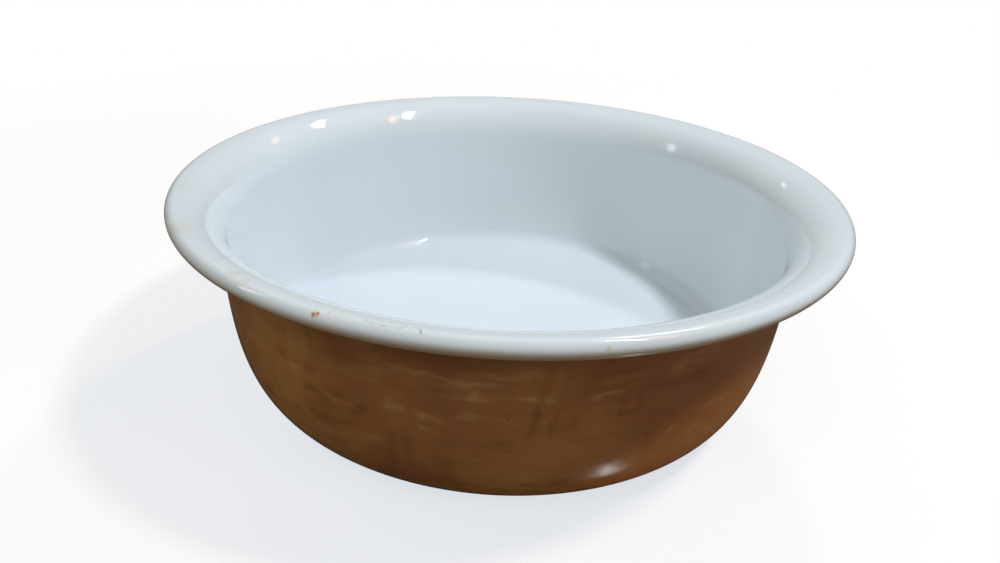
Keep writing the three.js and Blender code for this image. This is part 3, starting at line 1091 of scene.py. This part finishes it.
class BOWL_OT_foot(bpy.types.Operator):
    """Turn the bare ring that the bowl stands on"""

    bl_idname = "bowl.foot"
    bl_label = "Foot ring"

    def execute(self, context):
        sizes, finish, section = made_from(context)
        inner = section.foot_inner_radius
        outer = sizes.foot_outer_radius
        rounding = sizes.foot_rounding
        top = sizes.foot_height + sizes.glaze_thickness
        quarter = math.pi / 2
        inner_edge = arc_run(
            np.array((inner + rounding, rounding)), rounding, math.pi, 3 * quarter, FOOT_ROUND_STEPS, 1)
        outer_edge = arc_run(
            np.array((outer - rounding, rounding)), rounding, -quarter, 0.0, FOOT_ROUND_STEPS, 1)
        outline = np.vstack(((inner, top), inner_edge[:, :2], outer_edge[:, :2], (outer, top)))
        piece = turned_piece("standing_ring", sizes, outline, False)
        dress(piece, "foot_ring", foot_material(sizes, finish))
        return {"FINISHED"}


class BOWL_OT_lining(bpy.types.Operator):
    """Turn the white glaze of the inside"""

    bl_idname = "bowl.lining"
    bl_label = "White lining"

    def execute(self, context):
        sizes, finish, section = made_from(context)
        back = beneath(section.lining, sizes.glaze_thickness)
        outline = np.vstack((back[::-1], section.lining[:, :2]))
        piece = turned_piece(LINING_PIECE, sizes, outline, True)
        dress(piece, "white_lining_glaze", lining_material(finish, section))
        return {"FINISHED"}


class BOWL_OT_rim(bpy.types.Operator):
    """Turn the white glaze over the rim and round the lip"""

    bl_idname = "bowl.rim"
    bl_label = "White rim"

    def execute(self, context):
        sizes, finish, section = made_from(context)
        piece = glaze_coat(RIM_PIECE, sizes, section.rim, False, neck_drift(section.rim, True))
        dress(piece, "white_rim_glaze", rim_material(finish, section))
        return {"FINISHED"}


class BOWL_OT_coat(bpy.types.Operator):
    """Turn the brushed brown coat of the wall"""

    bl_idname = "bowl.coat"
    bl_label = "Brown wall coat"

    def execute(self, context):
        sizes, finish, section = made_from(context)
        drift = edge_drift(section.coat, True) + neck_drift(section.coat, False)
        piece = glaze_coat("brushed_wall_coat", sizes, section.coat, False, drift)
        dress(piece, "brown_wall_coat", brown_material(finish, section))
        return {"FINISHED"}


class BOWL_OT_base(bpy.types.Operator):
    """Turn the glaze of the recessed base"""

    bl_idname = "bowl.base"
    bl_label = "Base glaze"

    def execute(self, context):
        sizes, finish, section = made_from(context)
        drift = edge_drift(section.base, False)
        piece = glaze_coat("recessed_base_glaze", sizes, section.base, True, drift)
        dress(piece, "base_glaze", base_material(finish))
        return {"FINISHED"}


def hang_lamp(lamp, aim):
    """An oval area lamp in its direction from the bowl, turned to face it.

    A lamp with a mirror gives no light and only shows in the gloss of that piece.
    """
    azimuth = math.radians(lamp.azimuth)
    elevation = math.radians(lamp.elevation)
    towards = Vector((
        math.sin(azimuth) * math.cos(elevation),
        math.cos(azimuth) * math.cos(elevation),
        math.sin(elevation)))
    light = bpy.data.lights.new(lamp.name, "AREA")
    light.shape = "ELLIPSE"
    light.size = lamp.width
    light.size_y = lamp.height
    light.energy = lamp.power
    light.color = lamp.colour
    holder = bpy.data.objects.new(lamp.name, light)
    holder.location = aim + towards * LAMP_DISTANCE
    turned = Quaternion((0.0, 0.0, 1.0), math.radians(lamp.turn))
    holder.rotation_euler = (towards.to_track_quat("Z", "Y") @ turned).to_euler()
    holder.visible_glossy = bool(lamp.mirror)
    holder.visible_diffuse = not lamp.mirror
    bpy.context.scene.collection.objects.link(holder)
    if lamp.mirror:
        mirrors = bpy.data.collections.new(f"mirror of {lamp.name}")
        mirrors.objects.link(bpy.data.objects[lamp.mirror])
        holder.light_linking.receiver_collection = mirrors


class BOWL_OT_stage(bpy.types.Operator):
    """Set up the floor, the light and the camera"""

    bl_idname = "bowl.stage"
    bl_label = "Stage"

    def execute(self, context):
        scene = context.scene
        stage = scene.bowl_stage
        scene.view_settings.view_transform = "Standard"
        aim = Vector((0.0, 0.0, stage.camera_aim))
        self.lay_floor(scene, stage)
        self.set_sky(scene, stage)
        for lamp in STUDIO_LAMPS + CATCH_LAMPS:
            hang_lamp(lamp, aim)
        self.place_camera(scene, stage, aim)
        return {"FINISHED"}

    def lay_floor(self, scene, stage):
        """A square floor under the bowl."""
        half = stage.floor_width / 2
        mesh = bpy.data.meshes.new(FLOOR_PIECE)
        corners = ((-half, -half, 0.0), (half, -half, 0.0), (half, half, 0.0), (-half, half, 0.0))
        mesh.from_pydata(corners, [], ((0, 1, 2, 3),))
        mesh.materials.append(floor_material(stage))
        floor = bpy.data.objects.new(FLOOR_PIECE, mesh)
        scene.collection.objects.link(floor)

    def set_sky(self, scene, stage):
        """Soft light from all round, seen straight as plain white."""
        world = bpy.data.worlds.new("soft sky")
        world.use_nodes = True
        scene.world = world
        wires = Wires(world.node_tree)
        straight, glossy = seen_rays(wires)
        tint = wires.mix(straight, stage.sky_colour, WHITE)
        level = wires.fade(glossy, 0.0, 1.0, stage.sky_strength, stage.sky_strength * stage.mirrored_share)
        strength = wires.math("MAXIMUM", straight, level)
        background = world.node_tree.nodes["Background"]
        wires.feed(background.inputs["Color"], tint)
        wires.feed(background.inputs["Strength"], strength)

    def place_camera(self, scene, stage, aim):
        """The camera in front of the bowl, looking down into it."""
        data = bpy.data.cameras.new("bowl_camera")
        data.sensor_width = 36.0
        data.lens = stage.lens
        data.shift_x = stage.lens_shift
        camera = bpy.data.objects.new("bowl_camera", data)
        down = stage.camera_elevation
        back = Vector((0.0, -math.cos(down), math.sin(down)))
        facing = (Matrix.Rotation(math.pi / 2 - down, 4, "X")
                  @ Matrix.Rotation(-stage.camera_pan, 4, "Y")
                  @ Matrix.Rotation(stage.camera_roll, 4, "Z"))
        camera.matrix_world = Matrix.Translation(aim + back * stage.camera_distance) @ facing
        scene.collection.objects.link(camera)
        scene.camera = camera


PIECE_OPERATORS = (
    BOWL_OT_clay, BOWL_OT_foot, BOWL_OT_lining, BOWL_OT_rim, BOWL_OT_coat, BOWL_OT_base, BOWL_OT_stage,
)


class BOWL_PT_panel(bpy.types.Panel):
    """Lists the steps that make the bowl"""

    bl_idname = "BOWL_PT_panel"
    bl_label = "Porcelain bowl"
    bl_space_type = "VIEW_3D"
    bl_region_type = "UI"
    bl_category = "Bowl"

    def draw(self, context):
        for operator in PIECE_OPERATORS:
            self.layout.operator(operator.bl_idname)


PROPERTY_GROUPS = {"bowl_sizes": BowlSizes, "bowl_finish": BowlFinish, "bowl_stage": BowlStage}


def register():
    """Registers the property groups, the operators and the panel."""
    for name, group in PROPERTY_GROUPS.items():
        bpy.utils.register_class(group)
        setattr(bpy.types.Scene, name, bpy.props.PointerProperty(type=group))
    for operator in PIECE_OPERATORS:
        bpy.utils.register_class(operator)
    bpy.utils.register_class(BOWL_PT_panel)


def unregister():
    """Takes back what register did."""
    bpy.utils.unregister_class(BOWL_PT_panel)
    for operator in reversed(PIECE_OPERATORS):
        bpy.utils.unregister_class(operator)
    for name, group in PROPERTY_GROUPS.items():
        delattr(bpy.types.Scene, name)
        bpy.utils.unregister_class(group)


def main():
    """Registers the add-on and makes every piece and the stage."""
    register()
    bpy.ops.bowl.clay()
    bpy.ops.bowl.foot()
    bpy.ops.bowl.lining()
    bpy.ops.bowl.rim()
    bpy.ops.bowl.coat()
    bpy.ops.bowl.base()
    bpy.ops.bowl.stage()


if __name__ == "__main__":
    main()
